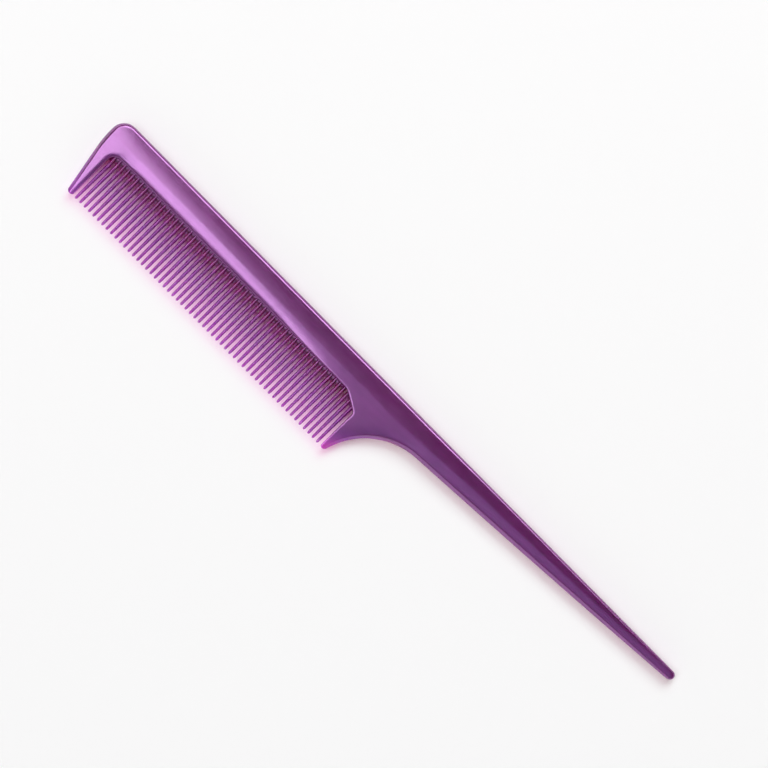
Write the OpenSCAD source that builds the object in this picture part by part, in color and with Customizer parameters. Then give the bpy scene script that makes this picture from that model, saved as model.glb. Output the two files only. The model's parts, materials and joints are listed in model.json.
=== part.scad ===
// Rat tail comb: a crowned spine with a row of fine tapered teeth between two guard teeth,
// drawn out at the rear into a long tapering tail.
//
// The plan is drawn from the front upper corner: x runs along the back edge towards the tail and
// d is the depth below the back edge, towards the tooth tips. The thickness is given by one
// function, half_thickness(x, d), which every piece of the moulding shares, so that
// neighbouring pieces meet in the same section.

/* [Overall] */
// Length from the front end to the tip of the tail
length = 216; // [205:1:228]
// Depth from the back edge to the tooth tips
depth = 25.5; // [25.2:0.1:26.4]
// Greatest thickness, along the crown of the spine
thickness = 4.6; // [4.2:0.1:5.2]

/* [Spine] */
// Depth of the spine, from the back edge to the tooth roots
spine_depth = 9.05; // [8.9:0.05:9.3]
// Radius of the front corner in plan
corner_r = 4.3; // [3.6:0.1:4.8]
// Width of the band over which a face falls from the crown to an edge
crown_reach = 3.6; // [3:0.1:4]
// Share of the crown's thickness that is left at the edge of that band
crown_low = 0.72; // [0.6:0.02:0.84]
// Height that is trimmed off the crown to leave a flat land along it
land_trim = 0.02; // [0.01:0.01:0.04]
// Width of the bevel along the back edge, the throat and the tail
edge_bevel = 0.8; // [0.6:0.1:1.2]
// Width of the bevel along the front edge
front_bevel = 1.6; // [1.2:0.1:2]
// Width of the bevel along the tooth roots
root_bevel = 1.2; // [0.8:0.1:1.6]

/* [Teeth] */
// Number of fine teeth
tooth_count = 56; // [40:1:56]
// Distance from one tooth to the next
tooth_pitch = 1.715; // [1.69:0.005:1.72]
// Place of the first tooth behind the front end
first_tooth_x = 6.44; // [6.36:0.02:6.6]
// Width of a tooth at its root
tooth_root_w = 1.25; // [1.1:0.05:1.4]
// Width of a tooth near its tip
tooth_tip_w = 0.8; // [0.7:0.05:1]
// Thickness of a tooth near its tip
tooth_tip_t = 1.3; // [1:0.1:1.6]
// Width of the ridge along a tooth's faces
tooth_ridge_w = 0.36; // [0.2:0.02:0.5]
// Length of the web that closes the root of each gap
web_reach = 2.3; // [1.5:0.1:2.8]
// Thickness of that web at the root line
web_root_t = 1.3; // [1:0.1:1.4]
// Thickness of that web at its free edge
web_edge_t = 0.3; // [0.2:0.05:0.5]

/* [Guard teeth] */
// Inner wall of the front guard tooth, behind the front end
front_wall_x = 5.2; // [5:0.05:5.3]
// Radius of the fillet between the front guard tooth and the spine
front_fillet_r = 2.6; // [2:0.1:3.4]
// Lean of the front guard tooth's outer edge
front_lean = 10.7; // [9:0.1:11.5]
// Room between the last tooth and the rear guard tooth, centre to wall
rear_room = 1.35; // [1.2:0.05:1.6]
// Angle of the sloping shoulder between the spine and the rear guard tooth
shoulder_angle = 30; // [26:1:36]
// Length of that shoulder along the spine
shoulder_run = 6; // [5:0.1:6.5]
// Radius of the throat, which runs from the tail to the tip of the rear guard tooth
throat_r = 21.2; // [20:0.2:23]
// Share of the spine's thickness that is left at the tips of the guard teeth
guard_thin = 0.46; // [0.4:0.02:0.6]

/* [Tail] */
// Distance from the front end to the neck, where the tail starts
neck_x = 123.2; // [122:0.2:124]
// Depth of the tail at its tip
tail_tip_w = 2.65; // [2.2:0.05:3.2]
// Height of the slight swell of the tail's lower edge, midway along it
tail_swell = 0.25; // [0:0.05:0.5]
// Share of the spine's thickness that the tail's tip is drawn with
tail_thin = 0.74; // [0.6:0.02:0.9]

/* [Hidden] */
tooth_name = function(i) str("tooth_", i < 10 ? "0" : "", i);

plastic = "#6b2d72";
half = thickness / 2;
crown_half = half + land_trim;
crown_end_d = 5.6;
tooth_sunk = 0.6;
tooth_side_land = 0.25;
tooth_root_step = 0.05;

// Shares of the full height that an edge keeps, and the shape of the bevel above it
edge_land = 0.38;
root_land = 0.74;
bevel_straight = 0.7;
bevel_blend = 0.5;

function tooth_x(i) = first_tooth_x + (i - 1) * tooth_pitch;
web_w = tooth_pitch - tooth_root_w;
rear_wall_x = tooth_x(tooth_count) + rear_room;
shoulder_x = rear_wall_x - shoulder_run;
shoulder_drop = shoulder_run * tan(shoulder_angle);
fillet_x = front_wall_x + front_fillet_r;
fillet_d = spine_depth + front_fillet_r;
fillet_turns = [0 : 10 : 90];

// The front edge is square to the back edge, bends through a large arc and then leans back.
lean_bend_r = 30;
lean_start_d = 5.4;
lean_end_d = lean_start_d + lean_bend_r * sin(front_lean);
lean_end_x = lean_bend_r * (1 - cos(front_lean));

// The tail's lower edge swells a little on its way from the neck to the tip.
tail_run = length - neck_x;
tail_fall = (spine_depth - tail_tip_w) / tail_run;
tail_angle = atan(tail_fall - 4 * tail_swell / tail_run);
tip_r = tail_tip_w / 2;
tip_x = length - tip_r;

// Tips turn in from their straight sides in these steps, in degrees.
tip_turns = [18, 36, 54, 72];
tooth_tip_turns = [0, 36, 72];
tip_last = 72;
guard_tip = 0.8;
tooth_tip = 0.55;

// The throat is an arc that leaves the tail's lower edge at the neck.
throat_x = neck_x + throat_r * sin(tail_angle);
throat_d = spine_depth + throat_r * cos(tail_angle);

// The smaller of two values, with the change from one to the other rounded off
function soft_min(a, b, blend) =
    let (mix = min(max(0.5 + 0.5 * (b - a) / blend, 0), 1))
    b + (a - b) * mix - blend * mix * (1 - mix);

// Plan outline
function front_edge(d) =
    d < lean_start_d ? 0 :
    d < lean_end_d ? lean_bend_r - sqrt(lean_bend_r ^ 2 - (d - lean_start_d) ^ 2) :
    lean_end_x + (d - lean_end_d) * tan(front_lean);
function back_edge(x) = x < corner_r ? corner_r - sqrt(corner_r ^ 2 - (corner_r - x) ^ 2) : 0;
function tail_edge(x) =
    let (share = (x - neck_x) / tail_run)
    spine_depth - (x - neck_x) * tail_fall + 4 * tail_swell * share * (1 - share);
function rear_edge(d) = throat_x - sqrt(throat_r ^ 2 - (throat_d - d) ^ 2);
function front_wall(d) =
    d < fillet_d ? fillet_x - sqrt(max(0, front_fillet_r ^ 2 - (fillet_d - d) ^ 2)) : front_wall_x;
function rear_wall(d) = min(rear_wall_x, shoulder_x + (d - spine_depth) / tan(shoulder_angle));

// Distance in from each stretch of the outline
function from_front(x, d) = (x - front_edge(d)) * cos(front_lean);
function from_corner(x, d) = corner_r - norm([corner_r - x, corner_r - d]);
function from_throat(x, d) = norm([x - throat_x, d - throat_d]) - throat_r;
function from_tail_edge(x, d) = (tail_edge(x) - d) * cos(tail_angle);
function from_tip(x, d) = x > tip_x ? tip_r - norm([x - tip_x, d - tip_r]) : tip_r;
function from_tooth_space(x, d) =
    x < fillet_x && d < fillet_d ? norm([x - fillet_x, d - fillet_d]) - front_fillet_r :
    max(spine_depth - d,
        front_wall_x - x,
        min(x - shoulder_x, shoulder_run) * sin(shoulder_angle) + (spine_depth - d) * cos(shoulder_angle),
        x - rear_wall_x);

// Thickness: a face falls from the crown towards each edge and is bevelled there.
function crown(e) = 1 - (1 - crown_low) * (1 - min(max(e, 0) / crown_reach, 1)) ^ 2;
function bevelled(e, width, land) =
    land + (1 - land) * soft_min(max(e, 0) / (bevel_straight * width), 1, bevel_blend);
function outer_fall(e, width = edge_bevel) = crown(e) * bevelled(e, width, edge_land);
function inner_fall(e) = crown(e) * bevelled(e, root_bevel, root_land);
function corner_bevel(x, d) =
    front_bevel + (edge_bevel - front_bevel) * atan2(corner_r - d, corner_r - x) / 90;
function front_and_back_fall(x, d) =
    x < corner_r && d < corner_r ? outer_fall(from_corner(x, d), corner_bevel(x, d)) :
    d < from_front(x, d) ? outer_fall(d) :
    outer_fall(from_front(x, d), front_bevel);
function wedge(d) = 1 - (1 - guard_thin) * max(0, d - crown_end_d) / (depth - crown_end_d);
function tail_taper(x) = 1 - (1 - tail_thin) * max(0, x - neck_x) / tail_run;
function head_thickness(x, d) =
    crown_half * wedge(d) * front_and_back_fall(x, d) * outer_fall(from_throat(x, d))
    * inner_fall(from_tooth_space(x, d));
function tail_thickness(x, d) =
    crown_half * wedge(d) * tail_taper(x)
    * (x > tip_x ? outer_fall(from_tip(x, d)) ^ 2 : outer_fall(d) * outer_fall(from_tail_edge(x, d)));
function half_thickness(x, d) = x <= neck_x ? head_thickness(x, d) : tail_thickness(x, d);

// Teeth are a little thinner at the root than the wall of the spine that they stand on.
tooth_root_t = 2 * (head_thickness((shoulder_x + fillet_x) / 2, spine_depth) - tooth_root_step);
tooth_flank = (tooth_root_w - tooth_ridge_w) / (tooth_root_t * (1 - tooth_side_land));

// Stations from 0 to 1 across a section, closer together at both edges
section_steps = 14;
across = [for (k = [0 : section_steps]) (1 - cos(180 * k / section_steps)) / 2];

// Stations from one place to another, evenly spaced, without the first
function even(from, to, count) = [for (k = [1 : count]) from + (to - from) * k / count];

// How far along a rounded tip, as a share of its length, each of its turns lies
function tip_along(a) = sin(a) / sin(tip_last);

// Plan points across a guard tooth at depth d, drawn in towards its middle by a share
function guard_row(near, far, d, share) =
    [for (t = across) [(near + far) / 2 + (t - 0.5) * (far - near) * share, d]];

// Puts a plan point at height z above the middle plane into the part's own frame.
function place(x, d, z) = [x - length / 2, depth / 2 - d, half + z];

// Closed solid between the two faces over a grid of plan points, one list of points per row. Seen
// from above, each row runs to the left of the way from one row to the next.
module moulded(rows) {
    n = len(rows[0]);
    m = len(rows);
    faces_apart = m * n;
    upper = [for (row = rows, p = row) place(p.x, p.y, half_thickness(p.x, p.y))];
    lower = [for (row = rows, p = row) place(p.x, p.y, -half_thickness(p.x, p.y))];
    cells = [
        for (i = [0 : m - 2], j = [0 : n - 2])
        let (a = i * n + j)
        [a, a + 1, a + n + 1, a + n]];
    rim = concat(
        [for (j = [0 : n - 2]) j],
        [for (i = [0 : m - 2]) i * n + n - 1],
        [for (j = [n - 1 : -1 : 1]) (m - 1) * n + j],
        [for (i = [m - 1 : -1 : 1]) i * n]);
    upper_faces = [for (c = cells, t = [[0, 1, 2], [0, 2, 3]]) [for (k = t) c[k]]];
    lower_faces = [for (t = upper_faces) [for (k = [2, 1, 0]) t[k] + faces_apart]];
    wall_faces = [
        for (k = [0 : len(rim) - 1])
        let (a = rim[k], b = rim[(k + 1) % len(rim)])
        for (t = [[b, a, a + faces_apart], [b, a + faces_apart, b + faces_apart]]) t];
    polyhedron(concat(upper, lower), concat(upper_faces, lower_faces, wall_faces));
}

// Trims the crown flat on both faces, to the stated thickness.
module trimmed() {
    intersection() {
        children();
        translate([-length, -depth, 0])
            cube([2 * length, 2 * depth, thickness]);
    }
}

// Plan of the space that the teeth stand in, open below the tips
module tooth_space() {
    below = 2;
    fillet = [
        for (a = fillet_turns)
        [fillet_x - front_fillet_r * cos(a), fillet_d - front_fillet_r * sin(a)]];
    shoulder = [[shoulder_x, spine_depth], [rear_wall_x, spine_depth + shoulder_drop]];
    outline = concat(
        [[front_wall_x, depth + below]],
        fillet,
        shoulder,
        [[rear_wall_x, depth + below]]);
    translate([-length / 2, depth / 2, 0])
        mirror([0, 1, 0])
        linear_extrude(thickness)
        polygon(outline);
}

// Corners of a tooth's octagonal section at depth d. The flanks keep one slope from root to tip.
function tooth_ring(x, d, w, t) =
    let (side = w / 2)
    let (land = tooth_side_land * t / 2)
    let (ridge = side - tooth_flank * (t / 2 - land))
    let (quarter = [[side, land], [ridge, t / 2]])
    let (turn = [[1, 1, 0], [-1, 1, 1], [-1, -1, 0], [1, -1, 1]])
    [for (q = turn, k = [0, 1])
        let (p = quarter[q[2] == 0 ? k : 1 - k])
        place(x + q.x * p.x, d, q.y * p.y)];

// The webs that close the gaps between the teeth: wedges from the root line to a thin edge
module root_webs() {
    section = [
        [spine_depth - tooth_sunk, web_root_t / 2],
        [spine_depth, web_root_t / 2],
        [spine_depth + web_reach, web_edge_t / 2]];
    upper = [for (p = section) [depth / 2 - p.x, half + p.y]];
    lower = [for (k = [len(section) - 1 : -1 : 0]) [depth / 2 - section[k].x, half - section[k].y]];
    for (i = [1 : tooth_count - 1]) {
        start = tooth_x(i) + tooth_root_w / 2;
        if (start > fillet_x && start + web_w < shoulder_x)
            translate([start - length / 2, 0, 0])
                rotate([90, 0, 90])
                linear_extrude(web_w)
                polygon(concat(upper, lower));
    }
}

// A tooth before it is fitted to the spine. It starts inside the root line and tapers to a rounded tip.
module tooth_blank(i) {
    x = tooth_x(i);
    rings = concat(
        [tooth_ring(x, spine_depth - tooth_sunk, tooth_root_w, tooth_root_t)],
        [for (a = tooth_tip_turns)
            let (d = depth - tooth_tip * (1 - tip_along(a)))
            tooth_ring(x, d, tooth_tip_w * cos(a), tooth_tip_t * cos(a))]);
    n = len(rings[0]);
    last = len(rings) - 1;
    sides = [
        for (r = [0 : last - 1], j = [0 : n - 1])
        [r * n + j, r * n + (j + 1) % n, (r + 1) * n + (j + 1) % n, (r + 1) * n + j]];
    root_end = [for (j = [n - 1 : -1 : 0]) j];
    tip_end = [for (j = [0 : n - 1]) last * n + j];
    polyhedron([for (ring = rings, p = ring) p], concat(sides, [root_end, tip_end]));
}

module spine() {
    corner_step = 15;
    front_rows = 4;
    rear_rows = 14;
    stations = concat(
        [for (a = [0 : corner_step : 90]) corner_r * (1 - cos(a))],
        even(corner_r, fillet_x, front_rows),
        [shoulder_x],
        even(shoulder_x, neck_x, rear_rows));
    color(plastic)
        union() {
            trimmed()
                moulded([
                    for (x = stations)
                    [for (t = across)
                        let (d = spine_depth - t * (spine_depth - back_edge(x)))
                        [x + front_edge(d) * max(0, 1 - x / fillet_x), d]]]);
            root_webs();
        }
}

module front_guard() {
    shank_rows = 4;
    straight_end = depth - guard_tip;
    bend = [for (a = fillet_turns) fillet_d - front_fillet_r * cos(a)];
    shank = even(fillet_d, straight_end, shank_rows);
    color(plastic)
        moulded(concat(
            [for (d = concat(bend, shank)) guard_row(front_edge(d), front_wall(d), d, 1)],
            [for (a = tip_turns)
                let (d = straight_end + guard_tip * tip_along(a))
                guard_row(front_edge(d), front_wall(d), d, cos(a))]));
}

module rear_guard() {
    throat_rows = 16;
    throat_crowding = 1.7;
    straight_end = depth - guard_tip;
    fall = straight_end - spine_depth;
    throat = [for (k = [0 : throat_rows]) spine_depth + fall * (k / throat_rows) ^ throat_crowding];
    color(plastic)
        moulded(concat(
            [for (d = throat) guard_row(rear_wall(d), rear_edge(d), d, 1)],
            [for (a = tip_turns)
                let (d = straight_end + guard_tip * tip_along(a))
                guard_row(rear_wall(d), rear_edge(d), d, cos(a))]));
}

module tail() {
    shank_rows = 12;
    shank = concat([neck_x], even(neck_x, tip_x, shank_rows));
    color(plastic)
        trimmed()
        moulded(concat(
            [for (x = shank) [for (t = across) [x, (1 - t) * tail_edge(x)]]],
            [for (a = tip_turns)
                [for (t = across) [tip_x + tip_r * tip_along(a), tip_r + (1 - 2 * t) * tip_r * cos(a)]]]));
}

module tooth(i) {
    color(plastic)
        intersection() {
            tooth_blank(i);
            tooth_space();
        }
}

spine();
front_guard();
rear_guard();
tail();
for (i = [1 : tooth_count]) tooth(i);
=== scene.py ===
# %% [markdown]
# # A rat tail comb in pearly purple plastic
# The comb is one moulding: a crowned spine, a row of fine teeth between two guard teeth, and a
# long tail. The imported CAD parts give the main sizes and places. Here the body is modelled again as
# one smooth skin, the teeth are modelled once and copied, and both get a moulded plastic finish.

# %% Load the frame
import json
import math

import bmesh
import bpy
from mathutils import Matrix, Quaternion, Vector

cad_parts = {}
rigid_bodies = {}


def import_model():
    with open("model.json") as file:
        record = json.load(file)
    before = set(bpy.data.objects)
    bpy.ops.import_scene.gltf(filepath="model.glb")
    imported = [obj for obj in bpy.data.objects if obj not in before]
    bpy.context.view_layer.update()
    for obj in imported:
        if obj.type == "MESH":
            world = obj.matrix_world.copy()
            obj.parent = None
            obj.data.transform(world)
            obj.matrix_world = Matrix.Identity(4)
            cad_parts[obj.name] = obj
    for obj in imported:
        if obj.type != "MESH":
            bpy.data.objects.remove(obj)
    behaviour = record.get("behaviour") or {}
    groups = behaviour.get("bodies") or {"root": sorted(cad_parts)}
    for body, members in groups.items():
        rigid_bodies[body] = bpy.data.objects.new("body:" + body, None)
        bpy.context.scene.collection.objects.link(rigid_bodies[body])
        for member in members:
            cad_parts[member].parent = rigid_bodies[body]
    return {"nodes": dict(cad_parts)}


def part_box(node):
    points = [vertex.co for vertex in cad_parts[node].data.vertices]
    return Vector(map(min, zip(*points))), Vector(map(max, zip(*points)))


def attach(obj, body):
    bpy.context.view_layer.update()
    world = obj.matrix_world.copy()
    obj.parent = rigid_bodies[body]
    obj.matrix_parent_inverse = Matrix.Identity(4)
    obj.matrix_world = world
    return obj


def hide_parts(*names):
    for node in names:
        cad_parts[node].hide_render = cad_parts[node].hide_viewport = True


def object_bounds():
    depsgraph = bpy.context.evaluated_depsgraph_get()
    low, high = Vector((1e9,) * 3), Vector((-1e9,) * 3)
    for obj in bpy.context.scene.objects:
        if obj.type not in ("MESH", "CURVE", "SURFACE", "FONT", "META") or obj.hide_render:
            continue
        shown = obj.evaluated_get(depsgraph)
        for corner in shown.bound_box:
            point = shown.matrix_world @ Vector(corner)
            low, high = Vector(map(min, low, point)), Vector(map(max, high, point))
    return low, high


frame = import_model()
cad_low, cad_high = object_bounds()
print("CAD box in mm:", [round(1000 * side, 2) for side in cad_high - cad_low])

# %% [markdown]
# ## Sizes
# The plan is measured as on a drawing board, in millimetres: x runs back from the front end and
# d runs down from the back edge to the tooth tips. Most sizes are read off the CAD parts, so the
# skin follows them if they change. The few that a box can't give, such as radii, are written out.

# %% Read the driving sizes from the CAD parts
MM = 0.001
TOOTH_COUNT = sum(name.startswith("tooth_") for name in frame["nodes"])
tooth_names = [f"tooth_{number:02d}" for number in range(1, TOOTH_COUNT + 1)]


def plan_span(node):
    """A part's lowest and highest x and its lowest and highest d, in millimetres."""
    low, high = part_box(node)
    return ((low.x - cad_low.x) / MM, (high.x - cad_low.x) / MM,
            (cad_high.y - high.y) / MM, (cad_high.y - low.y) / MM)


NECK_X = plan_span("spine")[1]
WEB_D = plan_span("spine")[3]
ROOT_D = plan_span("rear_guard")[2]
LENGTH = plan_span("tail")[1]
TIP_D = plan_span(tooth_names[0])[3]
HALF = (cad_high.z - cad_low.z) / MM / 2
FILLET_X = plan_span("front_guard")[1]
SHOULDER_X = plan_span("rear_guard")[0]
tooth_x = [sum(plan_span(name)[:2]) / 2 for name in tooth_names]

CORNER_R = 4.3
FILLET_R = 2.6
FRONT_LEAN = math.radians(10.7)
FRONT_BEND_R = 30.0
FRONT_BEND_D = 5.4
REAR_ROOM = 1.35
SHOULDER_ANGLE = math.radians(30)
THROAT_R = 21.2
TAIL_TIP = 2.65
TAIL_SWELL = 0.25

WALL_X = FILLET_X - FILLET_R
FILLET_D = ROOT_D + FILLET_R
REAR_WALL_X = tooth_x[-1] + REAR_ROOM
TAIL_RUN = LENGTH - NECK_X
TAIL_SLOPE = (ROOT_D - TAIL_TIP) / TAIL_RUN
TAIL_ANGLE = math.atan(TAIL_SLOPE - 4 * TAIL_SWELL / TAIL_RUN)
TIP_R = TAIL_TIP / 2
TIP_X = LENGTH - TIP_R
print(TOOTH_COUNT, "teeth at a pitch of", round((tooth_x[40] - tooth_x[10]) / 30, 3), "mm")
print("root line", round(ROOT_D, 2), "mm down, web out to", round(WEB_D, 2), "mm")

# %% [markdown]
# ## The outline
# Each stretch of the outline is a small formula: a corner arc at the front, a leaning front edge,
# the two walls of the tooth space, the throat behind the rear guard, and a tail that swells a
# little on its way to the tip.

# %% Outline of the comb
LEAN_D = FRONT_BEND_D + FRONT_BEND_R * math.sin(FRONT_LEAN)
LEAN_X = FRONT_BEND_R * (1 - math.cos(FRONT_LEAN))
THROAT_X = NECK_X + THROAT_R * math.sin(TAIL_ANGLE)
THROAT_D = ROOT_D + THROAT_R * math.cos(TAIL_ANGLE)
WALL_BLEND = 0.8


def arc_drop(radius, along):
    """How far an arc has left its tangent at a distance along it."""
    return radius - math.sqrt(max(radius * radius - along * along, 0.0))


def soft_min(a, b, blend):
    """The smaller of two values, with the change from one to the other rounded off."""
    mix = min(max(0.5 + 0.5 * (b - a) / blend, 0.0), 1.0)
    return b + (a - b) * mix - blend * mix * (1 - mix)


def smooth_step(start, end, value):
    """0 before start, 1 past end, and an even change between."""
    share = min(max((value - start) / (end - start), 0.0), 1.0)
    return share * share * (3 - 2 * share)


def front_edge(d):
    if d < FRONT_BEND_D:
        return 0.0
    if d < LEAN_D:
        return arc_drop(FRONT_BEND_R, d - FRONT_BEND_D)
    return LEAN_X + (d - LEAN_D) * math.tan(FRONT_LEAN)


def back_edge(x):
    return arc_drop(CORNER_R, CORNER_R - x) if x < CORNER_R else 0.0


def tail_edge(x):
    share = (x - NECK_X) / TAIL_RUN
    return ROOT_D - (x - NECK_X) * TAIL_SLOPE + 4 * TAIL_SWELL * share * (1 - share)


def rear_edge(d):
    return THROAT_X - math.sqrt(THROAT_R ** 2 - (THROAT_D - d) ** 2)


def front_wall(d):
    return WALL_X + arc_drop(FILLET_R, FILLET_D - d) if d < FILLET_D else WALL_X


def rear_wall(d):
    return soft_min(REAR_WALL_X, SHOULDER_X + (d - ROOT_D) / math.tan(SHOULDER_ANGLE), WALL_BLEND)


print("rear guard is", round(rear_edge(TIP_D) - REAR_WALL_X, 2), "mm wide at its tip")

# %% [markdown]
# ## The thickness
# A moulded comb is thickest along the middle of the spine, falls gently to each edge and rolls
# over there. Above the teeth the spine has a facet that curves over towards the tooth roots, and a
# narrow bevel runs along the front end, the throat and the lower edge of the tail. One formula
# gives the height of the face at any plan point: it multiplies a fall for each edge near that
# point, so the faces of spine, guards and tail run into each other.

# %% Height of the face above the middle plane
# A crown or curve is the share of the height left at its edge and its reach in mm. The facet is the
# share lost and its reach. Rolls, bevels and fades are in mm, and lands and thins are shares.
BACK_CROWN = (0.8, 4.4)
FRONT_CROWN = (0.965, 8.0)
ROOT_FACET = (0.12, 3.7)
ROOT_CURVE = (0.805, 2.6)
FRONT_FADE = 8.0
FACET_FADE = 60.0
CURVE_FADE = (10.0, 36.0)
EDGE_ROLL = 0.85
EDGE_LAND = 0.36
ROOT_ROLL = 0.45
ROOT_LAND = 0.78
FRONT_WALL_ROLL = 1.2
TAIL_ROLL = 0.65
FRONT_BEVEL = 1.2
LOW_BEVEL = 1.4
LOW_LAND = 0.5
BEVEL_BLEND = 0.2
BEVEL_STRAIGHT = 0.7
CROWN_END_D = 5.5
GUARD_THIN = 0.46
TAIL_THIN = 0.74
TAIL_LOW_SHARE = 0.3
TAIL_LOW_CROWN = 0.64
NECK_FADE = 20.0
TAIL_RIDGE = 0.5


def crown(e, low, reach):
    """A smooth rise with the distance e from an edge, from the share low to 1."""
    return 1 - (1 - low) * (1 - min(max(e, 0.0) / reach, 1.0)) ** 2


def rolled(e, roll, land):
    """An edge rounded like a quarter of an ellipse, from the share land to 1."""
    return 1 - (1 - land) * (1 - math.sqrt(1 - (1 - min(max(e, 0.0) / roll, 1.0)) ** 2))


def bevelled(e, width, land):
    """An edge cut off at a slope, from the share land to 1."""
    return land + (1 - land) * soft_min(max(e, 0.0) / (BEVEL_STRAIGHT * width), 1.0, BEVEL_BLEND)


def front_and_back_fall(x, d):
    """Rolled over along the back edge and bevelled along the front one."""
    from_front = (x - front_edge(d)) * math.cos(FRONT_LEAN)
    if x < CORNER_R and d < CORNER_R:
        e = CORNER_R - math.hypot(CORNER_R - x, CORNER_R - d)
        back_share = math.atan2(CORNER_R - d, CORNER_R - x) / (math.pi / 2)
    else:
        e = min(d, from_front)
        back_share = 1.0 if d < from_front else 0.0
    round_edge = rolled(e, EDGE_ROLL, EDGE_LAND)
    flat_edge = bevelled(e, FRONT_BEVEL, EDGE_LAND)
    edge = back_share * round_edge + (1 - back_share) * flat_edge
    return edge * crown(d, *BACK_CROWN) * crown(from_front, *FRONT_CROWN)


def throat_fall(x, d):
    """Crowned and bevelled along the curve from the rear guard into the tail."""
    e = math.hypot(x - THROAT_X, d - THROAT_D) - THROAT_R
    return crown(e, *BACK_CROWN) * bevelled(e, LOW_BEVEL, LOW_LAND)


def from_tooth_space(x, d):
    """Distance from the space that the teeth stand in."""
    if x < FILLET_X and d < FILLET_D:
        return math.hypot(x - FILLET_X, d - FILLET_D) - FILLET_R
    if x < FILLET_X:
        return WALL_X - x
    shoulder = (x - SHOULDER_X) * math.sin(SHOULDER_ANGLE) + (ROOT_D - d) * math.cos(SHOULDER_ANGLE)
    return -soft_min(-max(ROOT_D - d, x - REAR_WALL_X), -shoulder, WALL_BLEND)


def tooth_space_fall(x, d):
    """A facet that curves over towards the tooth roots, and fades out towards both guard teeth."""
    e = from_tooth_space(x, d)
    past_front = smooth_step(WALL_X, WALL_X + FRONT_FADE, x)
    facet = ROOT_FACET[0] * max(0.0, 1 - max(e, 0.0) / ROOT_FACET[1])
    facet *= past_front * smooth_step(REAR_WALL_X, REAR_WALL_X - FACET_FADE, x)
    curve = 1 - crown(e, *ROOT_CURVE)
    curve *= past_front * smooth_step(REAR_WALL_X - CURVE_FADE[0], REAR_WALL_X - CURVE_FADE[1], x)
    roll = FRONT_WALL_ROLL + (ROOT_ROLL - FRONT_WALL_ROLL) * past_front
    return (1 - facet) * (1 - curve) * rolled(e, roll, ROOT_LAND)


def tail_fall(x, d):
    """Rolled over along the top of the tail, bevelled along its lower edge and round at its tip."""
    if x > TIP_X:
        e = TIP_R - math.hypot(x - TIP_X, d - TIP_R)
        low_fall = crown(TIP_R, TAIL_LOW_CROWN, BACK_CROWN[1])
        return crown(e, *BACK_CROWN) * low_fall * rolled(e, TAIL_ROLL, EDGE_LAND)
    low = (tail_edge(x) - d) * math.cos(TAIL_ANGLE)
    bevel = min(LOW_BEVEL, TAIL_LOW_SHARE * tail_edge(x))
    past_neck = smooth_step(NECK_X, NECK_X + NECK_FADE, x)
    roll = EDGE_ROLL + (TAIL_ROLL - EDGE_ROLL) * past_neck
    low_crown = BACK_CROWN[0] + (TAIL_LOW_CROWN - BACK_CROWN[0]) * past_neck
    return (crown(d, *BACK_CROWN) * rolled(d, roll, EDGE_LAND)
            * crown(low, low_crown, BACK_CROWN[1]) * bevelled(low, bevel, LOW_LAND))


def face_height(x, d):
    """Height of the face at a plan point: the half thickness times each fall that reaches it."""
    ridge = CROWN_END_D
    if x > NECK_X - NECK_FADE:
        narrower = TAIL_RIDGE * (tail_edge(x) if x > NECK_X else ROOT_D)
        ridge += (narrower - ridge) * smooth_step(NECK_X - NECK_FADE, NECK_X + NECK_FADE, x)
    wedge = 1 - (1 - GUARD_THIN) * max(0.0, d - ridge) / (TIP_D - CROWN_END_D)
    if x < NECK_X:
        return HALF * wedge * front_and_back_fall(x, d) * throat_fall(x, d) * tooth_space_fall(x, d)
    taper = 1 - (1 - TAIL_THIN) * (x - NECK_X) / TAIL_RUN
    return HALF * wedge * taper * tail_fall(x, d)


middle_x = (FILLET_X + SHOULDER_X) / 2
heights = [round(face_height(middle_x, ROOT_D * k / 6), 2) for k in range(7)]
print("face heights across the spine:", heights)

# %% [markdown]
# ## The body
# The body starts as a flat grid, one row of points for each station along the bar of spine and
# tail. Two stretches of its lower border are then extruded, row by row, into the guard teeth. This
# keeps the whole face a net of four-sided patches, which shade smoothly. Only the upper half is
# modelled: a mirror across the middle plane gives the lower one.

# %% Stations along the bar and across it
def bunched(start, end, count):
    """Stations from start to end, closer together at both ends."""
    return [start + (end - start) * (1 - math.cos(math.pi * k / count)) / 2 for k in range(count + 1)]


def even(start, end, count):
    """Stations from start to end, evenly spaced, without the first."""
    return [start + (end - start) * k / count for k in range(1, count + 1)]


FRONT_COLUMNS = 20
SPINE_COLUMNS = 30
REAR_COLUMNS = 26
TAIL_COLUMNS = 34
TIP_COLUMNS = 8
BAR_ROWS = 30
BEFORE_NECK = 0.001
LAST_TIP_TURN = math.radians(80)
TIP_END = 0.2

front_stations = bunched(0, FILLET_X, FRONT_COLUMNS)
spine_stations = even(FILLET_X, SHOULDER_X, SPINE_COLUMNS)[:-1]
rear_stations = bunched(SHOULDER_X, NECK_X - BEFORE_NECK, REAR_COLUMNS)
tail_stations = even(NECK_X, TIP_X, TAIL_COLUMNS)
tip_turns = even(0, LAST_TIP_TURN, TIP_COLUMNS)
tip_stations = [TIP_X + TIP_R * math.sin(turn) / math.sin(LAST_TIP_TURN) for turn in tip_turns]
stations = front_stations + spine_stations + rear_stations + tail_stations + tip_stations
across = bunched(0, 1, BAR_ROWS)


def bar_point(x, share):
    """Plan point on the bar, a share of the way from its back edge to its lower one."""
    if x > TIP_X:
        half_width = math.sqrt(max(TIP_R ** 2 - (x - TIP_X) ** 2, TIP_END ** 2))
        return x, TIP_R + (2 * share - 1) * half_width
    low = ROOT_D if x < NECK_X else tail_edge(x)
    d = back_edge(x) + share * (low - back_edge(x))
    return x + front_edge(d) * max(0.0, 1 - x / FILLET_X), d


print(len(stations), "stations along the bar,", len(across), "points across it")

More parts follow.
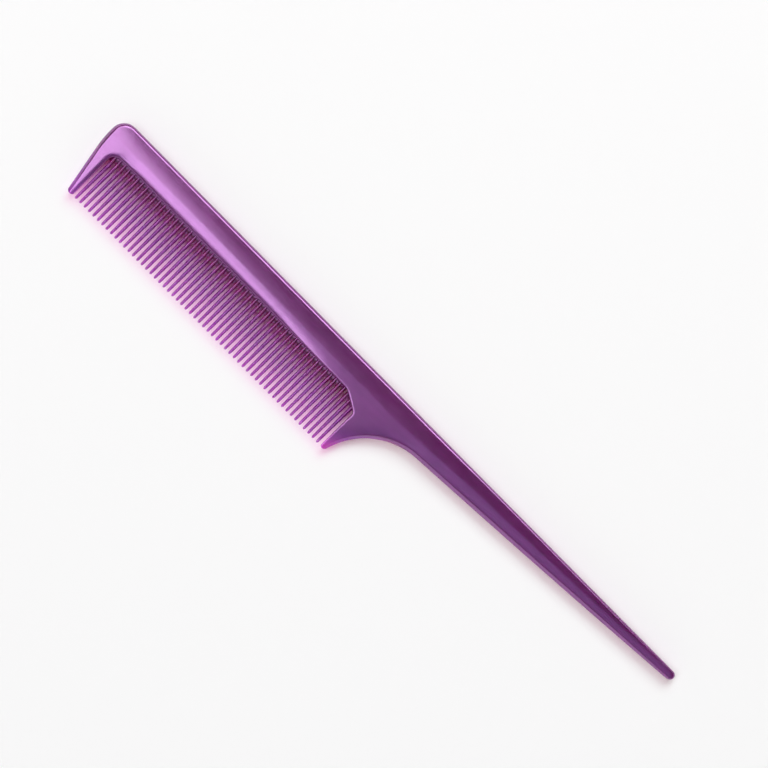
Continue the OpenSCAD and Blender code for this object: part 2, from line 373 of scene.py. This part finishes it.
# %% Grid for the bar of spine and tail
bpy.ops.object.select_all(action="DESELECT")
bpy.ops.mesh.primitive_grid_add(x_subdivisions=len(stations) - 1, y_subdivisions=BAR_ROWS, size=1)
body = bpy.context.object
body.name = "comb_body"
root_row = {}
for vertex in body.data.vertices:
    column = round((vertex.co.x + 0.5) * (len(stations) - 1))
    row = round((0.5 - vertex.co.y) * BAR_ROWS)
    x, d = bar_point(stations[column], across[row])
    vertex.co = (x, -d, 0)
    if row == BAR_ROWS:
        root_row[column] = vertex.index
print("bar grid:", len(body.data.polygons), "patches")

# %% Extrude the guard teeth from the lower border
GUARD_TIP_ROUND = 0.8
GUARD_BUNCH = 1.7
FRONT_ROWS = 30
REAR_ROWS = 36


def guard_rows(left, right, count):
    """Plan rows of a guard tooth below the root line, as (d, x at one side, x at the other)."""
    straight_d = TIP_D - GUARD_TIP_ROUND
    depths = [ROOT_D + (straight_d - ROOT_D) * (k / count) ** GUARD_BUNCH for k in range(1, count + 1)]
    rows = [(d, left(d), right(d)) for d in depths]
    for turn in tip_turns:
        d = straight_d + GUARD_TIP_ROUND * math.sin(turn) / math.sin(LAST_TIP_TURN)
        middle = (left(d) + right(d)) / 2
        reach = (right(d) - left(d)) / 2 * math.cos(turn)
        rows.append((d, middle - reach, middle + reach))
    return rows


def extrude_guard(first_column, last_column, rows):
    """Extrudes the border between two stations and lays each new row on its plan points."""
    mesh = body.data
    xs = [stations[c] for c in range(first_column, last_column + 1)]
    shares = [(x - xs[0]) / (xs[-1] - xs[0]) for x in xs]
    bpy.ops.object.mode_set(mode="EDIT")
    bpy.ops.mesh.select_all(action="DESELECT")
    net = bmesh.from_edit_mesh(mesh)
    net.verts.ensure_lookup_table()
    border = {net.verts[root_row[c]] for c in range(first_column, last_column + 1)}
    for edge in net.edges:
        edge.select_set(edge.is_boundary and set(edge.verts) <= border)
    for d, left, right in rows:
        bpy.ops.mesh.extrude_edges_move()
        net = bmesh.from_edit_mesh(mesh)
        fresh = sorted((v for v in net.verts if v.select), key=lambda v: v.co.x)
        for vertex, share in zip(fresh, shares):
            vertex.co = (left + share * (right - left), -d, 0)
        bmesh.update_edit_mesh(mesh)
    bpy.ops.object.mode_set(mode="OBJECT")


extrude_guard(0, FRONT_COLUMNS, guard_rows(front_edge, front_wall, FRONT_ROWS))
rear_first = stations.index(rear_stations[0])
extrude_guard(rear_first, rear_first + REAR_COLUMNS, guard_rows(rear_wall, rear_edge, REAR_ROWS))
print("with guards:", len(body.data.polygons), "patches")

# %% [markdown]
# The face now gets its height, and its open rim is extruded down to the middle plane. Outside, the
# rim is a plain wall. Along the tooth roots it runs out into a thin edge, the web that closes the
# bottom of each gap on a moulded comb.

# %% Raise the face and draw the rim down to the middle plane
WEB_REACH = WEB_D - ROOT_D
RIM = ((0.58, 0.16), (0.15, 0.95), (0.0, 0.95))
RIM_SHARE = 0.7
ON_EDGE = 0.03
WEB_TURN = 4


def web_way(x, d):
    """How far, and which way in plan, the web runs out from a point of the rim."""
    if from_tooth_space(x, d) > ON_EDGE or d > FILLET_D + WEB_REACH:
        return Vector((0, 0))
    if x < FILLET_X:
        way = Vector((FILLET_X - x, FILLET_D - d)) / FILLET_R
        return way * WEB_REACH * max(way.y, 0.0) if d < FILLET_D else Vector((0, 0))
    if x < SHOULDER_X:
        return Vector((0, WEB_REACH))
    out = min((x - SHOULDER_X) / (REAR_WALL_X - SHOULDER_X), 1.0)
    turn = SHOULDER_ANGLE * min(WEB_TURN * out, 1.0)
    return Vector((-math.sin(turn), math.cos(turn))) * WEB_REACH * (1 - out)


for vertex in body.data.vertices:
    vertex.co.z = face_height(vertex.co.x, -vertex.co.y)
rim_start = len(body.data.vertices)

bpy.ops.object.mode_set(mode="EDIT")
bpy.ops.mesh.select_mode(type="EDGE")
bpy.ops.mesh.select_all(action="DESELECT")
bpy.ops.mesh.select_non_manifold(extend=False, use_wire=False, use_multi_face=False,
                                 use_non_contiguous=False, use_verts=False)
for level in RIM:
    bpy.ops.mesh.extrude_edges_move()
bpy.ops.object.mode_set(mode="OBJECT")

rim_count = (len(body.data.vertices) - rim_start) // len(RIM)
for vertex in body.data.vertices[rim_start:]:
    loop = (vertex.index - rim_start) // rim_count
    height, share = RIM[loop]
    run = web_way(vertex.co.x, -vertex.co.y) * share
    top = vertex.co.z * RIM_SHARE ** (loop + 1)
    vertex.co = (vertex.co.x + run.x, vertex.co.y - run.y, min(height, top))
print("upper half:", len(body.data.vertices), "points,", rim_count, "along the rim")

# %% Mirror the half, smooth it and set it in its place
def apply_modifier(piece, kind, **settings):
    """Adds one modifier to a piece, with its settings, and applies it."""
    bpy.ops.object.select_all(action="DESELECT")
    piece.select_set(True)
    bpy.context.view_layer.objects.active = piece
    modifier = piece.modifiers.new(kind.lower(), kind)
    for key, value in settings.items():
        setattr(modifier, key, value)
    bpy.ops.object.modifier_apply(modifier=modifier.name)


def into_place(piece):
    """Turns plan millimetres into the frame's metres, with the place in the mesh."""
    origin = Vector((cad_low.x, cad_high.y, (cad_low.z + cad_high.z) / 2))
    piece.data.transform(Matrix.Translation(origin) @ Matrix.Scale(MM, 4))


apply_modifier(body, "MIRROR", use_axis=(False, False, True), use_mirror_merge=True,
               merge_threshold=0.001)
bpy.ops.object.mode_set(mode="EDIT")
bpy.ops.mesh.select_all(action="SELECT")
bpy.ops.mesh.normals_make_consistent(inside=False)
bpy.ops.object.mode_set(mode="OBJECT")
apply_modifier(body, "SUBSURF", levels=1, render_levels=1)
into_place(body)
bpy.ops.object.shade_smooth()
print("body:", len(body.data.polygons), "faces")

# %% [markdown]
# ## A fine tooth
# Each tooth is a slim blade. At the root its section is a diamond with a narrow ridge along both
# faces that rises to meet the spine, and towards the tip it turns into a plain oval. A circle is
# extruded ring by ring along the tooth, each ring is pressed into its section, and the finished
# tooth is copied along the row.

# %% Model one tooth
TOOTH_SUNK = 1.1
ROOT_HALF_W = 0.64
ROOT_HALF_T = 1.08
END_HALF_W = 0.42
END_HALF_T = 0.66
ROOT_RISE = 0.48
RISE_SHARE = 0.27
TIP_ROUND = 0.6
RISE_RINGS = 3
SHANK_RINGS = 5
TIP_RINGS = 4
LAST_RING_TURN = math.radians(78)
DIAMOND = ((1.0, 0.0), (0.98, 0.24), (0.66, 0.64), (0.27, 1.0), (0.0, 1.0))
OVAL = tuple((math.cos(k * math.pi / 8), math.sin(k * math.pi / 8)) for k in range(5))
TOOTH_SIDES = 4 * (len(OVAL) - 1)

straight_d = TIP_D - TIP_ROUND
start_d = ROOT_D - TOOTH_SUNK
shares = [0] + even(0, RISE_SHARE, RISE_RINGS) + even(RISE_SHARE, 1, SHANK_RINGS)
rings = [(start_d + (straight_d - start_d) * share, share, 1.0) for share in shares]
for turn in even(0, LAST_RING_TURN, TIP_RINGS):
    d = straight_d + TIP_ROUND * math.sin(turn) / math.sin(LAST_RING_TURN)
    rings.append((d, 1.0, math.cos(turn)))


def section(corner, share, drawn_in):
    """Point of a tooth's section, numbered round it, at a share of the way from root to tip."""
    quarter, step = divmod(corner, len(OVAL) - 1)
    k = step if quarter % 2 == 0 else len(OVAL) - 1 - step
    side = DIAMOND[k][0] + (OVAL[k][0] - DIAMOND[k][0]) * share
    rise = DIAMOND[k][1] + (OVAL[k][1] - DIAMOND[k][1]) * share
    half_w = ROOT_HALF_W + (END_HALF_W - ROOT_HALF_W) * share
    half_t = ROOT_HALF_T + (END_HALF_T - ROOT_HALF_T) * share
    half_t += ROOT_RISE * max(0.0, 1 - share / RISE_SHARE)
    return ((1 if quarter in (0, 3) else -1) * side * half_w * drawn_in,
            (1 if quarter in (0, 1) else -1) * rise * half_t * drawn_in)


bpy.ops.object.select_all(action="DESELECT")
bpy.ops.mesh.primitive_circle_add(vertices=TOOTH_SIDES, radius=1, fill_type="NGON",
                                  rotation=(math.pi / 2, 0, 0))
tooth = bpy.context.object
tooth.name = "fine_tooth"
bpy.ops.object.transform_apply(location=False, rotation=True, scale=False)
bpy.ops.object.mode_set(mode="EDIT")
bpy.ops.mesh.select_all(action="SELECT")
for step in range(len(rings) - 1):
    bpy.ops.mesh.extrude_region_move(TRANSFORM_OT_translate={"value": (0, -1, 0)})
bpy.ops.mesh.select_all(action="DESELECT")
bpy.ops.mesh.select_non_manifold(extend=False, use_wire=False, use_multi_face=False,
                                 use_non_contiguous=False, use_verts=False)
bpy.ops.mesh.edge_face_add()
bpy.ops.object.mode_set(mode="OBJECT")
for vertex in tooth.data.vertices:
    d, share, drawn_in = rings[round(-vertex.co.y)]
    corner = round(math.atan2(vertex.co.z, vertex.co.x) / (2 * math.pi) * TOOTH_SIDES) % TOOTH_SIDES
    x, z = section(corner, share, drawn_in)
    vertex.co = (x, -d, z)
bpy.ops.object.mode_set(mode="EDIT")
bpy.ops.mesh.select_all(action="SELECT")
bpy.ops.mesh.normals_make_consistent(inside=False)
bpy.ops.object.mode_set(mode="OBJECT")
apply_modifier(tooth, "SUBSURF", levels=1, render_levels=1)
bpy.ops.object.shade_smooth()
print("tooth:", len(tooth.data.polygons), "faces")

# %% Copy the tooth along the row
teeth = []
for number, x in enumerate(tooth_x, start=1):
    copy = tooth.copy()
    copy.data = tooth.data.copy()
    copy.name = f"fine_tooth_{number:02d}"
    bpy.context.collection.objects.link(copy)
    copy.data.transform(Matrix.Translation((x, 0, 0)))
    into_place(copy)
    teeth.append(copy)
bpy.data.objects.remove(tooth)
print(len(teeth), "teeth stand from", round(tooth_x[0], 2), "to", round(tooth_x[-1], 2), "mm")

# %% [markdown]
# ## The finish
# The comb is moulded in a pearly, slightly translucent purple polystyrene. The polished mould
# leaves a satin gloss, the pearl pigment tints the highlights lilac, and light that enters the
# thin teeth comes out pink and crimson. Scattering under the surface gives some of the glow of the
# plastic itself. The rest of that glow is painted into the base colour: painted crimson on the web
# at the tooth roots, with painted shade next to the roots, teeth and front guard painted lighter
# towards their tips, and a painted magenta glow at the tip of the rear guard. For the pink light on
# the table, the rays that look for a lamp pass through the plastic and take on its tint, because
# the renderer leaves scattering out once a ray has bounced off the table. The pearl lies in faint
# streaks along the flow of the melt, use leaves hair-fine scratches along the comb, and a fine bump
# stands for the ripple that a moulding has.

# %% Helpers for materials
def linear(hex_colour):
    """An sRGB hex colour as linear red, green, blue and alpha."""
    shares = [int(hex_colour[k:k + 2], 16) / 255 for k in (1, 3, 5)]
    return tuple(s / 12.92 if s <= 0.04045 else ((s + 0.055) / 1.055) ** 2.4 for s in shares) + (1.0,)


def add_node(tree, kind, links=(), **settings):
    """Adds a node, sets its properties and inputs by name, and links what feeds it."""
    node = tree.nodes.new(kind)
    for key, value in settings.items():
        if hasattr(node, key):
            setattr(node, key, value)
        else:
            node.inputs[key.replace("_", " ")].default_value = value
    for socket, source in links:
        tree.links.new(source, node.inputs[socket])
    return node


def set_stops(ramp, stops):
    """Puts colours at places from 0 to 1 along a colour ramp."""
    elements = ramp.color_ramp.elements
    while len(elements) < len(stops):
        elements.new(1.0)
    for element, (position, hex_colour) in zip(elements, stops):
        element.position = position
        element.color = linear(hex_colour)


def new_material(name):
    """A material with its node tree and its main shader."""
    material = bpy.data.materials.new(name)
    material.use_nodes = True
    return material, material.node_tree, material.node_tree.nodes["Principled BSDF"]


print("white is", linear("#FFFFFF"))

# %% Pearl purple polystyrene: moulded, glossy and slightly translucent
DEEP_PURPLE = "#66205E"
plastic, tree, shader = new_material("pearl_purple_polystyrene")
place = add_node(tree, "ShaderNodeTexCoord")
in_mm = add_node(tree, "ShaderNodeVectorMath", [("Vector", place.outputs["Object"])],
                 operation="SCALE", Scale=1 / MM)
axes = add_node(tree, "ShaderNodeSeparateXYZ", [("Vector", in_mm.outputs["Vector"])])

# Painted glow of light shining through thin plastic: thick parts keep the deep purple, the web is
# painted crimson with painted shade where it meets the roots, the teeth and the front guard are painted
# lighter violet towards their tips, and the rear guard's tip is painted with a magenta glow
past_root = add_node(tree, "ShaderNodeMapRange", [("Value", axes.outputs["Y"])],
                     From_Min=cad_high.y / MM - ROOT_D, From_Max=cad_low.y / MM, To_Min=0.0, To_Max=1.0)
painted_glow_ramp = add_node(tree, "ShaderNodeValToRGB", [("Fac", past_root.outputs["Result"])])
set_stops(painted_glow_ramp, ((0.0, DEEP_PURPLE), (0.05, "#5C1434"), (0.12, "#80245A"), (0.2, "#7A2A74"),
                        (0.5, "#7A2E88"), (1.0, "#983FA4")))
rear_wall_place = cad_low.x / MM + REAR_WALL_X
behind = add_node(tree, "ShaderNodeMapRange", [("Value", axes.outputs["X"])],
                  From_Min=rear_wall_place - 0.3, From_Max=rear_wall_place + 0.3, To_Min=0.0, To_Max=1.0)
# Painted magenta glow towards the tip of the rear guard
guard_end = add_node(tree, "ShaderNodeMapRange",
                     [("Value", past_root.outputs["Result"]), ("To Max", behind.outputs["Result"])],
                     From_Min=0.6, From_Max=1.0, To_Min=0.0)
glow = add_node(tree, "ShaderNodeMixRGB",
                [("Fac", guard_end.outputs["Result"]), ("Color1", painted_glow_ramp.outputs["Color"])],
                Color2=linear("#CD55BE"))
from_middle = add_node(tree, "ShaderNodeMath", [(0, axes.outputs["Z"])], operation="SUBTRACT")
from_middle.inputs[1].default_value = (cad_low.z + cad_high.z) / 2 / MM
half_thick = add_node(tree, "ShaderNodeMath", [(0, from_middle.outputs["Value"])], operation="ABSOLUTE")
thin = add_node(tree, "ShaderNodeMapRange", [("Value", half_thick.outputs["Value"])],
                From_Min=1.0, From_Max=1.6, To_Min=1.0, To_Max=0.0)
# The painted glow is mixed in only where the plastic is thin; thick parts keep the plain deep purple
purple_and_painted_glow = add_node(tree, "ShaderNodeMixRGB",
                       [("Fac", thin.outputs["Result"]), ("Color2", glow.outputs["Color"])],
                       Color1=linear(DEEP_PURPLE))

# Pearl streaks, about 14 mm long and 3 mm across
along = add_node(tree, "ShaderNodeVectorMath", [(0, in_mm.outputs["Vector"])], operation="MULTIPLY")
along.inputs[1].default_value = (1 / 14, 1 / 3, 1 / 3)
streaks = add_node(tree, "ShaderNodeTexNoise", [("Vector", along.outputs["Vector"])],
                   Scale=1.0, Detail=3.0)
pearl = add_node(tree, "ShaderNodeMapRange", [("Value", streaks.outputs["Fac"])],
                 From_Min=0.3, From_Max=0.7, To_Min=0.9, To_Max=1.1)
colour = add_node(tree, "ShaderNodeMixRGB",
                  [("Color1", purple_and_painted_glow.outputs["Color"]), ("Color2", pearl.outputs["Result"])],
                  blend_type="MULTIPLY", Fac=1.0)
tree.links.new(colour.outputs["Color"], shader.inputs["Base Color"])

# Scratches about 25 mm long and 0.25 mm apart, and a satin mottle of about 2 mm
drawn = add_node(tree, "ShaderNodeVectorMath", [(0, in_mm.outputs["Vector"])], operation="MULTIPLY")
drawn.inputs[1].default_value = (1 / 25, 4.0, 1.0)
scratches = add_node(tree, "ShaderNodeTexNoise", [("Vector", drawn.outputs["Vector"])],
                     Scale=1.0, Detail=2.0)
worn = add_node(tree, "ShaderNodeMapRange", [("Value", scratches.outputs["Fac"])],
                From_Min=0.6, From_Max=0.75, To_Min=0.0, To_Max=0.05)
mottle = add_node(tree, "ShaderNodeTexNoise", [("Vector", in_mm.outputs["Vector"])],
                  Scale=0.5, Detail=4.0)
satin = add_node(tree, "ShaderNodeMapRange", [("Value", mottle.outputs["Fac"])],
                 From_Min=0.3, From_Max=0.7, To_Min=0.17, To_Max=0.21)
rough = add_node(tree, "ShaderNodeMath", [(0, satin.outputs["Result"]), (1, worn.outputs["Result"])],
                 operation="ADD")
tree.links.new(rough.outputs["Value"], shader.inputs["Roughness"])

# Moulding ripple of about 1.5 mm, some ten microns high
ripple = add_node(tree, "ShaderNodeTexNoise", [("Vector", in_mm.outputs["Vector"])],
                  Scale=0.7, Detail=3.0)
bump = add_node(tree, "ShaderNodeBump", [("Height", ripple.outputs["Fac"])],
                Strength=1.0, Distance=0.012 * MM)
tree.links.new(bump.outputs["Normal"], shader.inputs["Normal"])

# Pearl under a clear skin: a strong lilac sheen, and light that spreads a few millimetres inside
shader.inputs["Metallic"].default_value = 0.0
shader.inputs["IOR"].default_value = 2.0
shader.inputs["Specular IOR Level"].default_value = 1.0
shader.inputs["Specular Tint"].default_value = linear("#F0A9FD")
shader.inputs["Subsurface Weight"].default_value = 1.0
shader.inputs["Subsurface Radius"].default_value = (2.5, 0.3, 1.8)
shader.inputs["Subsurface Scale"].default_value = MM
shader.inputs["Coat Weight"].default_value = 0.35
shader.inputs["Coat Roughness"].default_value = 0.1
shader.inputs["Coat IOR"].default_value = 1.5

# Lamps shine through: a little crimson gets through the lower spine and much pink through the thin
# teeth, while the shadow of the thick parts is nearly grey
down = add_node(tree, "ShaderNodeMapRange", [("Value", axes.outputs["Y"])],
                From_Min=cad_high.y / MM, From_Max=cad_low.y / MM, To_Min=0.0, To_Max=1.0)
passed = add_node(tree, "ShaderNodeValToRGB", [("Fac", down.outputs["Result"])])
set_stops(passed, ((0.0, "#C8B0B8"), (0.2, "#C09CA4"), (0.33, "#A84870"), (0.42, "#B03878"),
                   (0.54, "#C43CB4"), (0.67, "#CE70C0"), (0.755, "#E797D2"), (1.0, "#F8C8E6")))
thick_behind = add_node(tree, "ShaderNodeMath",
                        [(0, behind.outputs["Result"]), (1, guard_end.outputs["Result"])],
                        operation="SUBTRACT")
through = add_node(tree, "ShaderNodeMixRGB",
                   [("Fac", thick_behind.outputs["Value"]), ("Color1", passed.outputs["Color"])],
                   Color2=linear("#C4A0A4"))
clear = add_node(tree, "ShaderNodeBsdfTransparent", [("Color", through.outputs["Color"])])
path = add_node(tree, "ShaderNodeLightPath")
both = add_node(tree, "ShaderNodeMixShader",
                [(0, path.outputs["Is Shadow Ray"]), (1, shader.outputs["BSDF"]),
                 (2, clear.outputs["BSDF"])])
tree.links.new(both.outputs["Shader"], tree.nodes["Material Output"].inputs["Surface"])

for piece in [body] + teeth:
    piece.data.materials.clear()
    piece.data.materials.append(plastic)
    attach(piece, "root")
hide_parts("spine", "front_guard", "rear_guard", "tail")
for piece, name in zip(teeth, tooth_names):
    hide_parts(name)
print("finish on", 1 + len(teeth), "pieces")

# %% [markdown]
# ## Floor, light and camera
# The comb lies on a white table, seen from straight above with a long lens. A broad soft light
# towards the front end draws the lilac band along the spine, and a second one beyond the back edge
# lights that edge and throws the short shadow under the teeth and the tail. A weak, cool panel on
# the side of the tooth tips lifts the lower faces. The surround is white at table height and dark
# overhead, which keeps the upper half of the spine deep, and the backdrop is seen as white paper.

# %% Floor: white coated card
TABLE_SIDE = 5

card, card_tree, card_shader = new_material("white_coated_card")
card_place = add_node(card_tree, "ShaderNodeTexCoord")
fibre = add_node(card_tree, "ShaderNodeTexNoise", [("Vector", card_place.outputs["Object"])],
                 Scale=900.0, Detail=3.0)
card_rough = add_node(card_tree, "ShaderNodeMapRange", [("Value", fibre.outputs["Fac"])],
                      To_Min=0.8, To_Max=0.95)
card_tree.links.new(card_rough.outputs["Result"], card_shader.inputs["Roughness"])
card_shader.inputs["Base Color"].default_value = linear("#FCFBFA")
card_shader.inputs["Specular IOR Level"].default_value = 0.1

bpy.ops.object.select_all(action="DESELECT")
bpy.ops.mesh.primitive_plane_add(size=TABLE_SIDE, location=(0, 0, cad_low.z))
floor = bpy.context.object
floor.name = "table"
floor.data.materials.append(card)
print("table of white card,", TABLE_SIDE, "m wide")

# %% Lights
LIGHT_AWAY = 4.0


def soft_light(name, azimuth, elevation, turn, wide, tall, power, colour="#FFFFFF"):
    """A soft light that points at the comb from a direction, turned on its axis, in degrees."""
    az, el = math.radians(azimuth), math.radians(elevation)
    way = Vector((math.cos(el) * math.cos(az), math.cos(el) * math.sin(az), math.sin(el)))
    bpy.ops.object.light_add(type="AREA", location=way * LIGHT_AWAY)
    lamp = bpy.context.object
    lamp.name = name
    lamp.data.shape = "RECTANGLE"
    lamp.data.size = wide
    lamp.data.size_y = tall
    lamp.data.energy = power
    lamp.data.color = linear(colour)[:3]
    turned = Quaternion((0, 0, 1), math.radians(turn))
    lamp.rotation_euler = (way.to_track_quat("Z", "Y") @ turned).to_euler()


soft_light("front_softbox", 191, 70.7, 2.5, 4.6, 1.8, 88.0)
soft_light("back_softbox", 108, 45, 0, 2.9, 2.14, 99.0)
soft_light("side_panel", 296, 68, 0, 2.9, 2.45, 8.0, "#D0E0FF")

world = bpy.data.worlds.new("studio")
bpy.context.scene.world = world
world.use_nodes = True
sky = world.node_tree
way = add_node(sky, "ShaderNodeTexCoord")
up = add_node(sky, "ShaderNodeSeparateXYZ", [("Vector", way.outputs["Generated"])])
shade = add_node(sky, "ShaderNodeMapRange", [("Value", up.outputs["Z"])], interpolation_type="SMOOTHSTEP",
                 From_Min=0.05, From_Max=0.8, To_Min=0.7, To_Max=0.03)
towards = add_node(sky, "ShaderNodeVectorMath", [(0, way.outputs["Generated"])], operation="DOT_PRODUCT")
towards.inputs[1].default_value = (0.6, -0.8, 0)
side = add_node(sky, "ShaderNodeMapRange", [("Value", towards.outputs["Value"])],
                From_Min=-0.8, From_Max=0.8, To_Min=0.2, To_Max=1.5)
surround = add_node(sky, "ShaderNodeMath", [(0, shade.outputs["Result"]), (1, side.outputs["Result"])],
                    operation="MULTIPLY")
seen = add_node(sky, "ShaderNodeLightPath")
backdrop = add_node(sky, "ShaderNodeMix",
                    [("Factor", seen.outputs["Is Camera Ray"]), ("A", surround.outputs["Value"])], B=0.95)
sky.links.new(backdrop.outputs["Result"], sky.nodes["Background"].inputs["Strength"])
sky.nodes["Background"].inputs["Color"].default_value = (1, 1, 1, 1)
print("three soft lights and a surround that is white at table height and dark overhead")

# %% Camera
PHOTO_SIDE = 768
MM_PER_PIXEL = 0.27516
VIEW_X = 102.48
VIEW_D = 0.965
ROLL = 45.3
HEIGHT = 0.8

bpy.ops.object.camera_add()
camera = bpy.context.object
camera.location = (cad_low.x + VIEW_X * MM, cad_high.y - VIEW_D * MM, cad_high.z / 2 + HEIGHT)
camera.rotation_euler = (0, 0, math.radians(ROLL))
camera.data.sensor_width = 36
camera.data.lens = camera.data.sensor_width * HEIGHT / (PHOTO_SIDE * MM_PER_PIXEL * MM)
camera.data.clip_end = 50
bpy.context.scene.camera = camera
bpy.context.scene.view_settings.view_transform = "Standard"
print("lens", round(camera.data.lens, 1), "mm")
